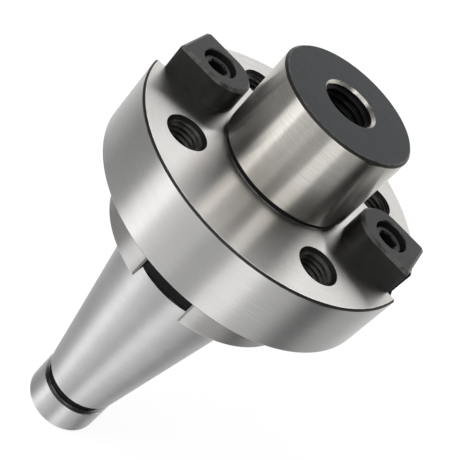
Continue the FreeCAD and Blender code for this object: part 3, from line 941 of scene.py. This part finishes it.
# %% Lamps, cards and sheets
TENT = 0.5
EVEN_LIGHT = 0.85
PATCHES = [
    ("long lamp, left", -48, 0, 9, 12, 60, 120, 0.86),
    ("glow beside the left lamp", -32, 0, 3, 28, 60, 120, 0.25),
    ("long lamp, right", 30, 0, 9, 15, 60, 120, 0.5),
    ("glow beside the right lamp", 40, 0, 4, 24, 60, 120, 0.14),
    ("gap left of the camera", -10, 0, 2, 9, 60, 110, 0.12),
    ("upper half of the left lamp", -48, 34, 9, 14, 14, 26, 0.4),
    ("upper half of the right lamp", 30, 34, 9, 16, 14, 26, 0.3),
    ("lamp above the camera", 12, 66, 10, 34, 4, 15, 0.6),
    ("tent wall behind", -177, -30, 35, 62, 30, 60, 0.33),
    ("tent roof behind", 180, 40, 30, 80, 15, 40, 0.5),
    ("ceiling", 0, 90, 180, 181, 8, 20, 0.6),
    ("lamp above, left", -145, 54, 8, 28, 6, 18, 1.0),
    ("lamp above, right", 145, 54, 8, 28, 6, 18, 1.2),
    ("behind the camera", 5, 30, 4, 12, 15, 30, -0.28),
    ("card, left", -84, -8, 14, 30, 26, 40, -0.18),
    ("card, right", 84, -8, 4, 22, 26, 40, -0.46),
    ("dark corner, left", -95, 38, 20, 50, 20, 45, -0.43),
    ("dark corner, right", 80, 38, 28, 50, 20, 45, -0.43),
    ("floor of the tent", 0, -90, 180, 181, 34, 52, 0.17),
    ("white sheet, low left", -106, -58, 30, 52, 12, 22, 0.11),
    ("white sheet, low right", 88, -58, 24, 42, 12, 22, 0.2),
]
WHITE = (1.0, 1.0, 1.0, 1.0)
print("tent:", len(PATCHES), "patches on a level of", TENT)


# %% Hang the tent
def fade(tree, value, middle, full, end, wraps=False):
    """1 where value lies within full degrees of middle, falling smoothly to 0 at end degrees from it.

    On the azimuth the difference wraps round at half a turn."""
    off = add(tree, "ShaderNodeMath", {0: value, 1: math.radians(middle)}, operation="SUBTRACT").outputs[0]
    if wraps:
        off = add(tree, "ShaderNodeMath", {0: off, 1: math.pi, 2: -math.pi}, operation="WRAP").outputs[0]
    size = add(tree, "ShaderNodeMath", {0: off}, operation="ABSOLUTE").outputs[0]
    return add(
        tree, "ShaderNodeMapRange",
        {"Value": size, "From Min": math.radians(end), "From Max": math.radians(full)},
        interpolation_type="SMOOTHSTEP",
    ).outputs[0]


def hang_tent():
    """The world: plain white for the camera, even light for matt surfaces, the tent for reflections.

    The tent's brightness is its own level plus the sum, over the patches, of strength times the fade in
    azimuth times the fade in elevation. Azimuth is arctan2(x, -y) and elevation arcsin(z)."""
    world = bpy.data.worlds.new("tent")
    bpy.context.scene.world = world
    tree = empty_tree(world)
    way = add(tree, "ShaderNodeTexCoord").outputs["Generated"]
    split = add(tree, "ShaderNodeSeparateXYZ", {0: way})
    front = add(tree, "ShaderNodeMath", {0: split.outputs[1], 1: -1.0}, operation="MULTIPLY").outputs[0]
    azimuth = add(tree, "ShaderNodeMath", {0: split.outputs[0], 1: front}, operation="ARCTAN2").outputs[0]
    elevation = add(tree, "ShaderNodeMath", {0: split.outputs[2]}, operation="ARCSINE").outputs[0]
    level = TENT
    for name, across, up, full_width, width, full_height, height, strength in PATCHES:
        wide = fade(tree, azimuth, across, full_width, width, wraps=True)
        tall = fade(tree, elevation, up, full_height, height)
        patch = add(tree, "ShaderNodeMath", {0: wide, 1: tall}, operation="MULTIPLY").outputs[0]
        level = add(
            tree, "ShaderNodeMath", {0: patch, 1: strength, 2: level}, operation="MULTIPLY_ADD", label=name
        ).outputs[0]
    ray = add(tree, "ShaderNodeLightPath")
    tent = add(tree, "ShaderNodeBackground", {"Strength": level, "Color": WHITE}).outputs[0]
    even = add(tree, "ShaderNodeBackground", {"Strength": EVEN_LIGHT, "Color": WHITE}).outputs[0]
    clear = add(tree, "ShaderNodeBackground", {"Strength": 1.0, "Color": WHITE}).outputs[0]
    matt = add(tree, "ShaderNodeMixShader", {0: ray.outputs["Is Glossy Ray"], 1: even, 2: tent}).outputs[0]
    seen = add(tree, "ShaderNodeMixShader", {0: ray.outputs["Is Camera Ray"], 1: matt, 2: clear})
    add(tree, "ShaderNodeOutputWorld", {"Surface": seen.outputs[0]})


hang_tent()
print("world:", bpy.context.scene.world.name)

# %% [markdown]
# ## The floor
#
# A sheet of white paper would never come out as white as the page round a catalogue picture, so the
# camera sees a mix of the paper, which takes the arbor's soft shadow, and of clear white light. That
# light is a little over 1, to make up for the paper's share. Light on the arbor itself isn't changed by
# it, and the arbor's reflections see the tent's own floor instead.

# %% Lay the floor
FLOOR_SIZE = 6000.0
FLOOR_CLEAR = 0.8
FLOOR_GLOW = 1.06
PAPER = "#f6f6f6"


def lay_floor():
    """A square sheet under the arbor: one face with the normal up, at the height of the drawbar end."""
    half = FLOOR_SIZE / 2
    corners = np.array([(-half, -half), (half, -half), (half, half), (-half, half)])
    mesh = bpy.data.meshes.new("floor")
    points = np.column_stack([corners, np.full(4, TAIL_END)]) * MM
    mesh.from_pydata(points.tolist(), [], [[0, 1, 2, 3]])
    sheet = bpy.data.materials.new("white_paper_sheet")
    tree = empty_tree(sheet)
    camera_ray = add(tree, "ShaderNodeLightPath").outputs["Is Camera Ray"]
    paper = add(tree, "ShaderNodeBsdfDiffuse", {"Color": linear(PAPER)}).outputs[0]
    clear = add(tree, "ShaderNodeEmission", {"Color": WHITE, "Strength": FLOOR_GLOW}).outputs[0]
    share = add(tree, "ShaderNodeMath", {0: camera_ray, 1: FLOOR_CLEAR}, operation="MULTIPLY").outputs[0]
    both = add(tree, "ShaderNodeMixShader", {0: share, 1: paper, 2: clear}).outputs[0]
    add(tree, "ShaderNodeOutputMaterial", {"Surface": both})
    mesh.materials.append(sheet)
    floor = bpy.data.objects.new("floor", mesh)
    bpy.context.scene.collection.objects.link(floor)
    floor.visible_glossy = False
    floor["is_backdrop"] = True


lay_floor()
print("floor at", TAIL_END, "mm")

# %% [markdown]
# ## One soft lamp
#
# A wide lamp high on the left gives the black pieces and the shadow a direction. It is kept out of
# reflections, where the tent's long lamps do that work, and it is weak, so that colours stay as written.

# %% Hang the lamp
LAMP_PLACE = (-450.0, -350.0, 800.0)
LAMP_AIM = (0.0, 0.0, 20.0)
LAMP_SIZE = 500.0
LAMP_POWER = 5.0

lamp = bpy.data.objects.new("soft_lamp", bpy.data.lights.new("soft_lamp", "AREA"))
lamp.data.size = LAMP_SIZE * MM
lamp.data.energy = LAMP_POWER
lamp.location = Vector(LAMP_PLACE) * MM
lamp.rotation_mode = "QUATERNION"
lamp.rotation_quaternion = (Vector(LAMP_AIM) - Vector(LAMP_PLACE)).to_track_quat("-Z", "Y")
lamp.visible_camera = False
lamp.visible_glossy = False
bpy.context.scene.collection.objects.link(lamp)
bpy.context.scene.view_settings.view_transform = "Standard"
print("lamp:", LAMP_SIZE, "mm wide,", LAMP_POWER, "W")

# %% [markdown]
# ## Sizes
#
# The CAD part's box and the dressed part's box are both printed.

# %% Both boxes
looks_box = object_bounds()
boxes = {"cad": cad_box, "looks": looks_box}
for name, box in boxes.items():
    print(name, "box in mm", [round(value / MM, 1) for corner in box for value in corner])
